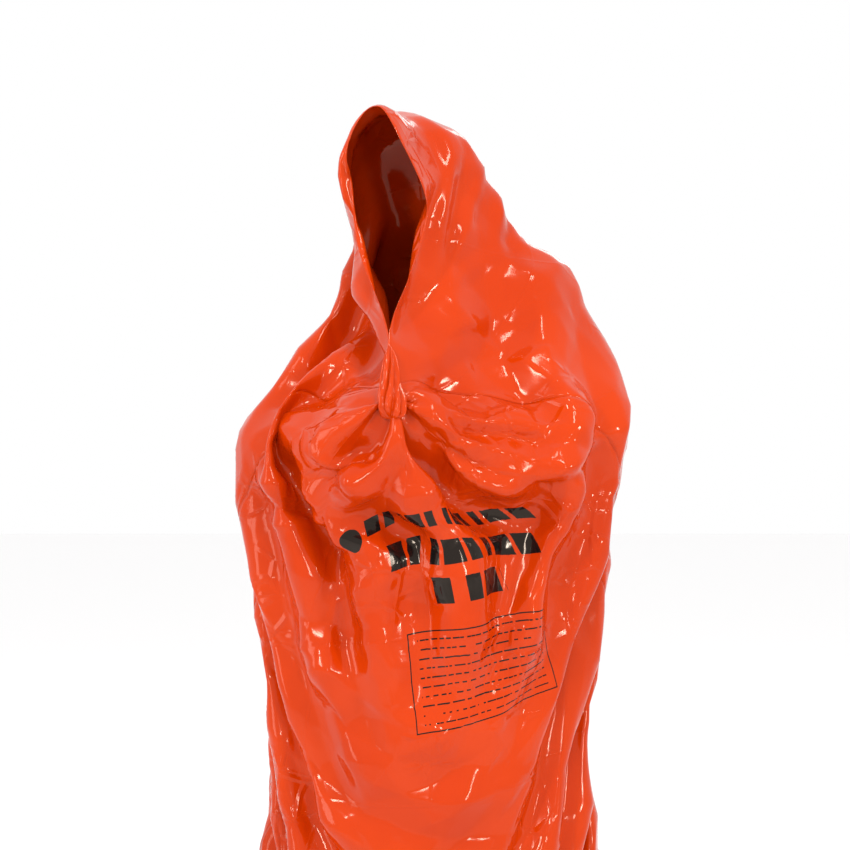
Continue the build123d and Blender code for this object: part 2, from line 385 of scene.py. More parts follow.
SIDE_UNDERFOOT = 0.012  # film on the ground at the weld's ends
GUIDE_TOPS = 1.50, 1.10  # highest places of the guide, behind and in front
FRONT_SPREAD = 0.6  # how quickly the front's rules give way to the back's round the sides
FRONT_SINKS = 0.25  # share of its rise above the waist that the front gives up
DRAWN_FROM, DRAWN_POWER = 0.62, 1.6  # where up the film it starts to run to the mouth's edge, and how late
LEAN = 0.10  # how much higher the film is held on the right of the front than on the left, per metre
LEAN_HEIGHT = 0.3  # height by which the lean is reached
VALLEY_RISE, VALLEY_END, VALLEY_FADE = 0.12, 0.80, 0.20  # the long folds deepen, begin to fade, and fade out
WELD_HEIGHT = 0.002
VALLEYS = [(0.02, 0.035, 0.022), (0.135, 0.040, 0.026), (0.405, 0.042, 0.024), (0.60, 0.040, 0.028),
           (0.745, 0.045, 0.034), (0.885, 0.040, 0.026)]  # long folds: place in turns, depth and half width
WELD_DRAW = 0.955  # how far the weld's ends draw in when the foot end opens


def soft_noise(rows, columns, cells, rng):
    """Smooth noise on the grid, seamless round the tube: random values on a square lattice of cells, read
    through cubic B-splines both ways and brought back to about unit size."""
    lattice = rng.normal(0, 1, (cells + 3, cells))
    y, x = np.linspace(0, cells, rows), np.arange(columns) / columns * cells
    yi = np.minimum(y.astype(int), cells - 1)
    xi = x.astype(int)

    def weights(f):
        return ((1 - f) ** 3 / 6, (3 * f**3 - 6 * f**2 + 4) / 6,
                (-3 * f**3 + 3 * f**2 + 3 * f + 1) / 6, f**3 / 6)

    total = np.zeros((rows, columns))
    for a, wy in enumerate(weights(y - yi)):
        for c, wx in enumerate(weights(x - xi)):
            total += lattice[np.ix_(yi + a, (xi + c - 1) % cells)] * wy[:, None] * wx[None, :]
    return total * SPLINE_GAIN


SPLINE_GAIN = 2.2  # what the splines take off the size of the lattice's values


def flat_spacing(rows, columns):
    """Distance between neighbours round and along the flat film, at every point. It is uneven by the
    crumple, wider round the hood, and narrower where the front is drawn into the bunch."""
    film = settings().film
    turn = np.tile(np.arange(columns) / columns, (rows, 1))
    share = np.tile(np.linspace(0, 1, rows)[:, None], (1, columns))
    rng = np.random.default_rng(7)
    growth = [1 + film.crumple * (0.6 * soft_noise(rows, columns, BROAD_CRUMPLES, rng)
                                  + 0.5 * soft_noise(rows, columns, FINE_CRUMPLES, rng)) for _ in range(2)]
    bunched = smooth((BUNCHED_TURN - from_middle(turn, FRONT)) / BUNCHED_FADE)
    below_mouth = (1 - share) * film.flat_length
    opening_out = PLEATED_WIDTH + (1 - PLEATED_WIDTH) * np.clip(below_mouth / PLEAT_LENGTH, 0, 1) ** 0.75
    hood = np.clip((share - HOOD_START) / 0.08, 0, 1) * np.clip((1 - share) / 0.06, 0, 1)
    hood = hood * np.clip((HOOD_TURN - from_middle(turn, BACK)) / 0.05, 0, 1)
    around = 2 * film.flat_width / columns * growth[0] * (1 - bunched * (1 - opening_out))
    around = around * (1 + HOOD_EASE * hood)
    along = film.flat_length / (rows - 1) * growth[1] * kept_share(turn)
    return around, along


BROAD_CRUMPLES, FINE_CRUMPLES = 14, 28  # round the tube
PLEATED_WIDTH, PLEAT_LENGTH = 0.20, 0.34  # share of the width left in the bunch, and how far it opens over
BUNCHED_TURN, BUNCHED_FADE = 0.29, 0.06  # how far from the middle of the front the film is drawn in
HOOD_START, HOOD_TURN = 0.68, 0.24  # where the hood begins up the film, and half its width in turns
HOOD_EASE = 0.06  # extra width round the hood, where the film is pulled


# ---- draping -------------------------------------------------------------------------------------
def hold_lengths(points, free, first, second, length, pull, push, wrap=0):
    """Moves each pair of points towards its flat distance: pull is the share taken when it is too long, and
    push when it is too short. wrap rolls the second of each pair round the tube."""
    a, b = points[first], points[second]
    wa, wb = free[first], free[second]
    if wrap:
        b, wb = np.roll(b, wrap, axis=1), np.roll(wb, wrap, axis=1)
    step = b - a
    now = np.sqrt((step * step).sum(-1)) + 1e-12
    off = (now - length) / now
    share = np.where(off > 0, pull, push) * off / (wa + wb + 1e-9)
    points[first] += step * (share * wa)[..., None]
    back = step * (share * wb)[..., None]
    points[second] -= np.roll(back, -wrap, axis=1) if wrap else back


def film_round(points, free, around, along, stiffness):
    """One round of the film's own forces: lengths round, along and across the grid, then its stiffness
    against folding, which is a push across two and across four cells."""
    rows, columns = free.shape
    every = slice(None)
    even, odd = slice(0, columns, 2), slice(1, columns, 2)
    hold_lengths(points, free, (every, even), (every, odd), around[:, 0::2], *EDGE_HOLD)
    hold_lengths(points, free, (every, odd), (every, even), around[:, 1::2], *EDGE_HOLD, wrap=-1)
    for start in (0, 1):
        count = (rows - start) // 2
        low, high = slice(start, start + 2 * count, 2), slice(start + 1, start + 2 * count, 2)
        hold_lengths(points, free, (low, every), (high, every), along[:count], *EDGE_HOLD)
        across = np.sqrt((0.5 * (around[low] + around[high])) ** 2 + along[low] ** 2)
        for wrap in (-1, 1):
            hold_lengths(points, free, (low, every), (high, every), across, *CROSS_HOLD, wrap=wrap)
    for reach in (2, 4):
        for start in (0, 1):
            near = np.nonzero(np.arange(columns) // reach % 2 == start)[0]
            far = (near + reach) % columns
            hold_lengths(points, free, (every, near), (every, far), reach * around[:, near], 0.0, stiffness)
            near = np.nonzero(np.arange(rows - reach) // reach % 2 == start)[0]
            hold_lengths(points, free, (near,), (near + reach,), reach * along[near], 0.0, stiffness)


EDGE_HOLD, CROSS_HOLD = (1.0, 0.55), (0.6, 0.3)  # pull and push along the grid's edges and across its cells


def keep_outside_wearer(flat, before, grip):
    """Pushes points out of the wearer's rods, which run into each other through a soft minimum of their
    distances, and takes away that share, grip, of each touching point's sliding."""
    total = np.zeros(len(flat))
    normal = np.zeros_like(flat)
    for a, b, ra, rb in WEARER_RODS:
        a, b = np.array(a), np.array(b)
        t = np.clip((flat - a) @ (b - a) / ((b - a) @ (b - a)), 0, 1)
        away = flat - (a + t[:, None] * (b - a))
        distance = np.sqrt((away * away).sum(1)) + 1e-9
        weight = np.exp(-np.clip(distance - ra - (rb - ra) * t, -0.2, 0.5) / ROD_BLEND)
        total += weight
        normal += away * (weight / distance)[:, None]
    normal /= np.sqrt((normal * normal).sum(1))[:, None] + 1e-12
    depth = WEARER_GAP + ROD_BLEND * np.log(total)
    hit = depth > 0
    n = normal[hit]
    flat[hit] += n * np.minimum(depth[hit], LARGEST_PUSH)[:, None]
    slide = flat[hit] - before[hit]
    flat[hit] -= (slide - (slide * n).sum(1)[:, None] * n) * grip


WEARER_GAP = 0.004  # least distance from the wearer to the film
LARGEST_PUSH = 0.03  # most that one step may push a point out


def keep_inside_form(flat):
    """Draws points back to the standing form where they pass its superellipse, except close to the ground,
    and lifts them off the ground."""
    mx, my, hx, hy = section(flat[:, 2])
    x, y = flat[:, 0] - mx, flat[:, 1] - my
    out = (np.abs(x) / (hx - FORM_GAP)) ** SQUARENESS + (np.abs(y) / (hy - FORM_GAP)) ** SQUARENESS
    out = out ** (1 / SQUARENESS)
    past = (out > 1) & (flat[:, 2] > FORM_FROM)
    flat[past, 0] = mx[past] + x[past] / out[past]
    flat[past, 1] = my[past] + y[past] / out[past]
    flat[:, 2] = np.maximum(flat[:, 2], GROUND_GAP)


FORM_GAP, FORM_FROM = 0.002, 0.03  # how far inside the form the film stays, and the height it does so from


def drape(points, steps, step_time, rounds, stiffness, pull, jitter, rng):
    """Lets the film settle: each step adds gravity, draws the standing part gently to its guide, runs the
    film's own forces, and keeps it outside the wearer and inside the form. Movement is damped and capped.
    pull, the draw to the guide everywhere, fades out over the steps, and jitter starts the buckling."""
    rows, columns, _ = points.shape
    film = settings().film
    guide, mouth = standing_guide(rows, columns)
    around, along = flat_spacing(rows, columns)
    turn = np.arange(columns) / columns
    free = np.ones((rows, columns))
    free[0] = 0.0
    free[-1, from_middle(turn, FRONT) < HELD_TURN] = 0.0
    held_edge = (EDGE_DRAW * (from_middle(turn, BACK) < FACE_TURN) * free[-1])[:, None]
    stand = np.clip((film.waist - guide[..., 2]) / STAND_FADE, 0, 1) * STAND_DRAW
    ground = (np.clip((GROUND_TOP - guide[..., 2]) / GROUND_FADE, 0, 1) * GROUND_DRAW)[..., None]
    points = points + rng.normal(0, jitter, points.shape) * free[..., None]
    speed = np.zeros_like(points)
    for step in range(steps):
        before = points.copy()
        speed[..., 2] -= GRAVITY * step_time * free
        points = points + speed * step_time
        points += (guide - points) * (pull * (1 - step / steps) * free[..., None])
        points[..., 2] += (guide[..., 2] - points[..., 2]) * stand
        points[..., :2] += (guide[..., :2] - points[..., :2]) * (stand * SIDE_DRAW)[..., None]
        points += (guide - points) * ground
        for _ in range(rounds):
            film_round(points, free, around, along, stiffness)
            points[-1] += (mouth - points[-1]) * held_edge
        flat, start = points.reshape(-1, 3), before.reshape(-1, 3)
        keep_outside_wearer(flat, start, GRIP)
        keep_inside_form(flat)
        speed = (points - before) / step_time * DAMPING
        speed *= np.minimum(1, TOP_SPEED / (np.sqrt((speed**2).sum(-1, keepdims=True)) + 1e-9))
    return points


HELD_TURN, FACE_TURN = 0.24, 0.235  # half the mouth that the hands hold, and half that lies along the face
EDGE_DRAW = 0.3  # share of the way to the face opening's edge that each round takes
STAND_DRAW, STAND_FADE = 0.06, 0.06  # share a step takes to the guide's height, and its fade below the waist
SIDE_DRAW = 0.25  # share of that draw which also acts sideways
GROUND_DRAW, GROUND_TOP, GROUND_FADE = 0.15, 0.16, 0.12  # share near the ground, where it ends, and its fade
GRIP, DAMPING = 0.45, 0.97  # share of sliding lost on the wearer, and share of speed kept, at each step
TOP_SPEED = 1.5  # metres a second


def refined(points):
    """The same film at twice the resolution: a new point between two is nine times their sum less the sum
    of the next two out, over sixteen."""
    rows, columns, _ = points.shape
    wide = np.empty((rows, columns * 2, 3))
    wide[:, 0::2] = points
    near = 9 * (points + np.roll(points, -1, 1))
    wide[:, 1::2] = (near - np.roll(points, 1, 1) - np.roll(points, -2, 1)) / 16
    tall = np.empty((2 * rows - 1, columns * 2, 3))
    tall[0::2] = wide
    ends = np.concatenate([2 * wide[:1] - wide[1:2], wide, 2 * wide[-1:] - wide[-2:-1]])
    tall[1::2] = (9 * (ends[1:-2] + ends[2:-1]) - ends[:-3] - ends[3:]) / 16
    return tall


def eased(points, rounds, share):
    """Takes out single-cell jags: each point moves that share of the way to its neighbours' mean."""
    for _ in range(rounds):
        mean = (np.roll(points, 1, 1) + np.roll(points, -1, 1)) / 2
        points = points + (mean - points) * share
        inner = (points[:-2] + points[2:]) / 2
        points[1:-1] += (inner - points[1:-1]) * share
    return points


def draped_film():
    """The whole tube, draped coarsely and then finely, from the coarse shape on."""
    rng = np.random.default_rng(11)
    points, _ = standing_guide(COARSE_ROWS, COARSE_COLUMNS)
    points = drape(points, steps=160, step_time=0.008, rounds=6, stiffness=0.10, pull=0.030, jitter=0.0020,
                   rng=rng)
    points = drape(refined(points), steps=160, step_time=0.006, rounds=6, stiffness=0.08, pull=0.008,
                   jitter=0.0006, rng=rng)
    return eased(points, rounds=2, share=0.35)


COARSE_ROWS, COARSE_COLUMNS = 57, 56


# ---- creases -------------------------------------------------------------------------------------
def resampled(points, rows, columns):
    """The film on a finer grid: Catmull-Rom spans both ways, seamless round the tube."""
    def spans(f):
        return ((-f**3 + 2 * f**2 - f) / 2, (3 * f**3 - 5 * f**2 + 2) / 2,
                (-3 * f**3 + 4 * f**2 + f) / 2, (f**3 - f**2) / 2)

    old_rows, old_columns, _ = points.shape
    x = np.arange(columns) / columns * old_columns
    k = x.astype(int)
    wide = sum(points[:, (k + d - 1) % old_columns] * w[None, :, None] for d, w in enumerate(spans(x - k)))
    y = np.linspace(0, old_rows - 1, rows)
    k = np.minimum(y.astype(int), old_rows - 2)
    tall = np.concatenate([2 * wide[:1] - wide[1:2], wide, 2 * wide[-1:] - wide[-2:-1]])
    return sum(tall[k + d] * w[:, None, None] for d, w in enumerate(spans(y - k)))


def facets(turn, share, rng):
    """Flat facets left by packing, in metres off the film: triangle waves that cross at many angles, each
    showing where its own soft noise is high. Whole waves round the tube keep it seamless."""
    film = settings().film
    rows, columns = turn.shape
    total = np.zeros((rows, columns))
    for around, along in FACET_WAVES:
        warp = FACET_WARP * soft_noise(rows, columns, WARP_CELLS, rng)
        phase = around * turn + along * share + warp + rng.uniform()
        wave = 2 * np.abs(phase - np.floor(phase + 0.5))
        length = 1 / math.hypot(around / (2 * film.flat_width), along / film.flat_length)
        shown = smooth(soft_noise(rows, columns, SHOWN_CELLS, rng) * 0.6 + 0.30)
        total += (wave - 0.5) * length * math.tan(math.radians(FACET_TILT)) / 2 * shown
    return total


def creases(turn, share, rng):
    """Sharp ridges and valleys, in metres off the film: each is a straight line on the flat film, with a
    tent profile across it that tapers to its ends."""
    film = settings().film
    across, along = turn * 2 * film.flat_width, share * film.flat_length
    total = np.zeros(turn.shape)
    lines = [(place * 2 * film.flat_width, up * film.flat_length, math.radians(degrees), *sizes)
             for place, up, degrees, *sizes in CREASES]
    for _ in range(RANDOM_CREASES):
        lines.append((rng.uniform(0, 2 * film.flat_width), rng.uniform(0.1, film.flat_length),
                      rng.uniform(0, math.pi), rng.uniform(*CREASE_HALF), rng.uniform(*CREASE_WIDTH),
                      rng.choice([-1, 1]) * rng.uniform(*CREASE_HEIGHT)))
    for x, y, angle, half, width, height in lines:
        dx = (across - x + film.flat_width) % (2 * film.flat_width) - film.flat_width
        dy = along - y
        on = (dx * math.cos(angle) + dy * math.sin(angle)) / half
        off = np.abs(dy * math.cos(angle) - dx * math.sin(angle)) / width
        total += height * np.clip(1 - off, 0, 1) ** 1.3 * np.clip(1 - on * on, 0, 1) ** 0.7
    return total


def pressed_flat(points, rounds, tolerance):
    """Gathers the film's bends into sharp creases between flat facets, as thin film bends. Each cell's
    normal becomes a mean of its neighbours', weighted towards those that already agree with it within the
    tolerance; then each point moves on to the planes of the cells round it."""
    rows = np.arange(len(points) - 1)

    def corners():
        east = np.roll(points, -1, 1)
        return points[:-1], east[:-1], east[1:], points[1:]

    a, b, c, d = corners()
    normal = np.cross(c - a, d - b)
    normal /= np.sqrt((normal * normal).sum(-1, keepdims=True)) + 1e-12
    for _ in range(rounds):
        total = normal.copy()
        for dy in (-1, 0, 1):
            shifted = normal[np.clip(rows + dy, 0, len(rows) - 1)]
            for dx in (-1, 0, 1):
                other = np.roll(shifted, dx, axis=1)
                apart = ((normal - other) ** 2).sum(-1, keepdims=True)
                total += other * np.exp(-apart / (2 * tolerance**2))
        normal = total / (np.sqrt((total * total).sum(-1, keepdims=True)) + 1e-12)
    for _ in range(SETTLE_ROUNDS):
        middle = sum(corners()) / 4
        move = np.zeros_like(points)
        for dy in (0, 1):
            for dx in (0, 1):
                n, m = np.roll(normal, dx, axis=1), np.roll(middle, dx, axis=1)
                here = points[dy:len(rows) + dy]
                move[dy:len(rows) + dy] += n * ((n * (m - here)).sum(-1, keepdims=True)) / 4
        points = points.copy()
        points[1:-1] += move[1:-1]
    return points


def creased(points):
    """The draped film with its facets and creases pushed out along its normals. They fade out close to the
    bunch, where the pleats take over, and at the weld, and grow small at the mouth."""
    rows, columns = FILM_ROWS, FILM_COLUMNS
    points = resampled(points, rows, columns)
    turn = np.tile(np.arange(columns) / columns, (rows, 1))
    share = np.tile(np.linspace(0, 1, rows)[:, None], (1, columns))
    round_it = np.roll(points, -1, 1) - np.roll(points, 1, 1)
    up_it = np.gradient(points, axis=0)
    normal = np.cross(round_it, up_it)
    normal /= np.sqrt((normal * normal).sum(-1, keepdims=True)) + 1e-12
    rng = np.random.default_rng(23)
    height = facets(turn, share, rng) + creases(turn, share, rng)
    near_bunch = np.sqrt(((points - BUNCH) ** 2).sum(-1))
    height *= (smooth((near_bunch - BUNCH_CLEAR) / BUNCH_FADE) * smooth(share / WELD_FADE)
               * smooth((1 - share) / MOUTH_FADE + 0.3))
    points = pressed_flat(points + normal * height[..., None], PRESS_ROUNDS, PRESS_TOLERANCE)
    points[..., 2] = np.maximum(points[..., 2], GROUND_GAP)
    return points


FILM_ROWS, FILM_COLUMNS = 313, 312
FACET_TILT = 8.0  # degrees
FACET_WARP, WARP_CELLS = 0.16, 5  # how far a facet's edges bend, in waves, and how often round the tube
SHOWN_CELLS = 9  # patches round the tube that show a wave or hide it
FACET_WAVES = [(7, 5), (9, -6), (3, 11), (12, 2), (5, -12), (14, 9), (2, 7), (16, -10)]  # round, along
BUNCH_CLEAR, BUNCH_FADE = 0.03, 0.08  # metres from the bunch's middle with no creases, and the fade beyond
WELD_FADE, MOUTH_FADE = 0.05, 0.03  # shares of the film's length
RANDOM_CREASES = 120
CREASE_HALF, CREASE_WIDTH, CREASE_HEIGHT = (0.06, 0.24), (0.015, 0.028), (0.0012, 0.0032)  # ranges
PRESS_ROUNDS, PRESS_TOLERANCE, SETTLE_ROUNDS = 40, 0.045, 24
# Creases that the way the bag is held leaves: middle (turn, share), angle from the round direction in
# degrees, half length, half width and height, in metres.
CREASES = [
    # the long folds beside the face, the fold that stands off the neck, and the edge over the shoulder
    (0.662, 0.950, 172, 0.125, 0.022, 0.007), (0.652, 0.937, 170, 0.105, 0.012, -0.005),
    (0.643, 0.924, 157, 0.105, 0.016, 0.006), (0.656, 0.888, 168, 0.050, 0.020, 0.009),
    (0.650, 0.874, 166, 0.050, 0.014, -0.005), (0.621, 0.897, -58, 0.110, 0.020, 0.007),
    # the chest, the flap over the bunch and the roll that hangs from it
    (0.558, 0.933, -75, 0.094, 0.012, 0.003), (0.509, 0.969, -69, 0.044, 0.012, 0.003),
    (0.406, 0.964, -167, 0.074, 0.014, 0.007), (0.397, 0.924, -46, 0.080, 0.016, 0.005),
    (0.402, 0.857, -64, 0.045, 0.024, 0.007), (0.438, 0.817, -40, 0.068, 0.024, 0.008),
    (0.496, 0.772, -36, 0.074, 0.024, 0.007), (0.448, 0.795, -38, 0.110, 0.020, -0.006),
    # the folds that fan out from the bunch to each elbow
    (0.455, 0.888, -73, 0.150, 0.014, 0.006), (0.444, 0.879, -74, 0.165, 0.018, -0.009),
    (0.424, 0.879, -76, 0.155, 0.020, 0.010), (0.402, 0.879, -77, 0.135, 0.018, -0.009),
    (0.384, 0.888, -73, 0.108, 0.018, 0.008), (0.161, 0.929, 24, 0.150, 0.018, 0.007),
    (0.174, 0.920, 32, 0.115, 0.018, -0.007), (0.192, 0.906, 46, 0.078, 0.018, 0.007),
    (0.576, 0.893, -68, 0.100, 0.014, 0.004), (0.545, 0.884, -76, 0.120, 0.014, -0.003),
    # the left arm's line, the bottom of its bulge, the tuck below it and its side
    (0.076, 0.942, 84, 0.074, 0.012, 0.004), (0.067, 0.804, 47, 0.224, 0.030, 0.008),
    (0.082, 0.788, 47, 0.190, 0.022, -0.009), (0.170, 0.888, -14, 0.033, 0.014, -0.006),
    (0.076, 0.759, 47, 0.180, 0.012, 0.004), (0.054, 0.643, -34, 0.058, 0.011, 0.003),
    (0.116, 0.652, 37, 0.081, 0.011, 0.003),
    # the ridge from the bunch down beside the print, its hollow, and the lines across the print
    (0.183, 0.938, -84, 0.083, 0.020, 0.006), (0.165, 0.812, -105, 0.153, 0.030, 0.009),
    (0.143, 0.810, -105, 0.140, 0.028, -0.008), (0.147, 0.688, -84, 0.100, 0.026, 0.007),
    (0.214, 0.812, -76, 0.068, 0.010, 0.0025), (0.254, 0.781, 8, 0.057, 0.010, 0.0025),
    (0.442, 0.585, -85, 0.091, 0.012, 0.004), (0.428, 0.570, -80, 0.070, 0.012, -0.003),
]


# ---- materials -----------------------------------------------------------------------------------
def node(tree, kind, inputs=(), **facts):
    """Adds a shader node and returns its outputs. kind is its type, with its operation after a point where
    it has one. inputs, in order or by name, give each socket a value or a link, and facts set the rest."""
    kind, _, operation = kind.partition(".")
    made = tree.nodes.new("ShaderNode" + kind)
    if operation:
        made.operation = operation
    for key, value in facts.items():
        setattr(made, key, value)
    for key, value in inputs.items() if isinstance(inputs, dict) else enumerate(inputs):
        if isinstance(value, bpy.types.NodeSocket):
            tree.links.new(value, made.inputs[key])
        else:
            made.inputs[key].default_value = value
    return made.outputs


def blank_material(name):
    """A new material with a Principled shader, its tree and that shader."""
    material = bpy.data.materials.new(name)
    material.use_nodes = True
    tree = material.node_tree
    return material, tree, tree.nodes["Principled BSDF"]


def band(tree, coordinate, middle, half):
    """One inside middle plus or minus half, zero outside."""
    return node(tree, "Math.COMPARE", (coordinate, middle, half))[0]


def ridge(tree, distance, half_width):
    """One at no distance, falling evenly to zero at half_width."""
    off = node(tree, "Math.DIVIDE", (distance, half_width))[0]
    off = node(tree, "Math.MINIMUM", (off, 1.0))[0]
    return node(tree, "Math.SUBTRACT", (1.0, off))[0]


# Patterns in the film, in repeats a metre.
CLOUDS = 5.0  # deeper and lighter colour, patches of 200 mm
GLOSS_PATCHES = 24.0  # patches of 40 mm, where the film has been handled
WORKED_PATCHES = 7.0  # patches of 140 mm that have been crumpled
CRINKLES = 22.0  # their crinkles, 45 mm apart
CRINKLE_WIDTH = 0.12  # their half width, as a share of that
WANDER, WANDER_PUSH = 6.0, 0.05  # how the crinkles wander: over 170 mm, by up to 50 mm
DENTS = 14.0  # soft dents of 70 mm
FOLD_HALF_WIDTH = 0.003
WELD_PATCHES = 30.0  # 33 mm, where the bars pressed unevenly
WELD_RIBS = 40.0


def film_material(name, printed):
    """Low-density polythene film, blown and dyed through: a smooth, slightly greasy gloss that shows each
    crease as a thin bright line. Its colour is a little uneven, as more or less light comes through it."""
    finish, film = settings().finish, settings().film
    material, tree, shader = blank_material(name)
    place = node(tree, "TexCoord")["Object"]
    flat = node(tree, "UVMap", uv_map="flat")[0]
    turns, shares = node(tree, "SeparateXYZ", (flat,))[:2]
    across = node(tree, "Math.MULTIPLY", (turns, film.flat_width))[0]
    along = node(tree, "Math.MULTIPLY", (shares, film.flat_length))[0]
    cloud = node(tree, "TexNoise", {"Vector": place, "Scale": CLOUDS, "Detail": 3.0})[0]
    shade = node(tree, "MapRange", (cloud, 0.35, 0.65, 0.0, 1.0))[0]
    oranges = {0: shade, 6: linear(finish.deep_orange), 7: linear(finish.orange)}
    colour = node(tree, "Mix", oranges, data_type="RGBA")[2]
    if printed:
        ink = print_mask(tree, across, along)
        colour = node(tree, "Mix", {0: ink, 6: colour, 7: linear(finish.ink)}, data_type="RGBA")[2]
    tree.links.new(colour, shader.inputs["Base Color"])
    handled = node(tree, "TexNoise", {"Vector": place, "Scale": GLOSS_PATCHES, "Detail": 4.0})[0]
    gloss = node(tree, "MapRange", (handled, 0.3, 0.7, finish.roughness * 0.7, finish.roughness * 1.6))[0]
    tree.links.new(gloss, shader.inputs["Roughness"])
    shader.inputs["IOR"].default_value = 1.51
    shader.inputs["Specular IOR Level"].default_value = 0.28
    shader.inputs["Specular Tint"].default_value = (1.0, 0.82, 0.66, 1.0)
    where = node(tree, "TexNoise", {"Vector": place, "Scale": WORKED_PATCHES, "Detail": 2.0})[0]
    worked = node(tree, "MapRange", (where, 0.50, 0.62, 0.0, 0.26))[0]
    crinkle = crinkles(tree, pushed_about(tree, place))
    crinkle = node(tree, "Math.MULTIPLY", (crinkle, worked))[0]
    dents = node(tree, "TexNoise", {"Vector": place, "Scale": DENTS, "Detail": 2.0, "Roughness": 0.45})[0]
    dents = node(tree, "Math.MULTIPLY", (dents, 0.2))[0]
    across_folds, along_folds = packing_folds(tree, across), packing_folds(tree, along)
    folds = node(tree, "Math.MAXIMUM", (across_folds, along_folds))[0]
    folds = node(tree, "Math.MULTIPLY", (folds, 0.05))[0]
    height = node(tree, "Math.ADD", (crinkle, dents))[0]
    height = node(tree, "Math.ADD", (height, folds))[0]
    bump = node(tree, "Bump", {"Height": height, "Distance": 0.006, "Strength": 0.9})[0]
    tree.links.new(bump, shader.inputs["Normal"])
    return material


def weld_material(name):
    """Polythene pressed between hot bars: both layers in one, so a deeper orange, with the bars' close ribs
    and a duller, patchy gloss."""
    finish = settings().finish
    material, tree, shader = blank_material(name)
    place = node(tree, "TexCoord")["Object"]
    patches = node(tree, "TexNoise", {"Vector": place, "Scale": WELD_PATCHES, "Detail": 3.0})[0]
    oranges = {0: patches, 6: linear(finish.deep_orange), 7: linear(finish.orange)}
    colour = node(tree, "Mix", oranges, data_type="RGBA")[2]
    tree.links.new(colour, shader.inputs["Base Color"])
    gloss = node(tree, "MapRange", (patches, 0.35, 0.65, 0.22, 0.42))[0]
    tree.links.new(gloss, shader.inputs["Roughness"])
    ribs = node(tree, "TexWave", {"Vector": place, "Scale": WELD_RIBS, "Distortion": 0.6})[1]
    bump = node(tree, "Bump", {"Height": ribs, "Strength": 0.35, "Distance": 0.0006})[0]
    tree.links.new(bump, shader.inputs["Normal"])
    return material


def pushed_about(tree, place):
    """Places pushed about by soft noise, so that crinkles aren't straight."""
    push = node(tree, "TexNoise", {"Vector": place, "Scale": WANDER, "Detail": 2.0})["Color"]
    push = node(tree, "VectorMath.SCALE", {0: push, "Scale": WANDER_PUSH})[0]
    return node(tree, "VectorMath.ADD", (place, push))[0]


def crinkles(tree, place):
    """Straight ridges along the borders of irregular cells."""
    cells = {"Vector": place, "Scale": CRINKLES, "Randomness": 1.0}
    off = node(tree, "TexVoronoi", cells, feature="DISTANCE_TO_EDGE")["Distance"]
    return ridge(tree, off, CRINKLE_WIDTH)


def packing_folds(tree, coordinate):
    """Ridges at even steps along the flat film, as folds pressed into it in its packet."""
    off = node(tree, "Math.PINGPONG", (coordinate, settings().finish.pressed_fold / 2))[0]
    return ridge(tree, off, FOLD_HALF_WIDTH)


# The print, in metres from its top and its middle.
DISC_GAP, DISC_RADIUS = 0.03, 0.52  # from the headline to the disc's middle, and its radius in heights
FIRST_LINE = 0.026, 11, 0.36  # height, number of blocks, and the share of each that is blank
LOWER_LINES = [(0.052, 0.305, 0.036, 8, 0.30), (0.106, 0.140, 0.036, 3, 0.26)]  # drop, width, then the same
SWAY, SWAY_WAVES = 0.15, 4.3  # how uneven the blocks are, and how fast that changes from block to block
NOTICE_TOP, FRAME_LINE = 0.175, 0.0018
SIDE_MARGIN, TOP_MARGIN = 0.014, 0.010
RULE_PITCH, RULE_SHARE = 0.0118, 0.17  # spacing of the notice's rules, and the share of it that is ink
DASHES, NEXT_RULE, DASH_LEVEL = 170.0, 7.3, 0.43  # noise along a rule, its step to the next, and ink's level


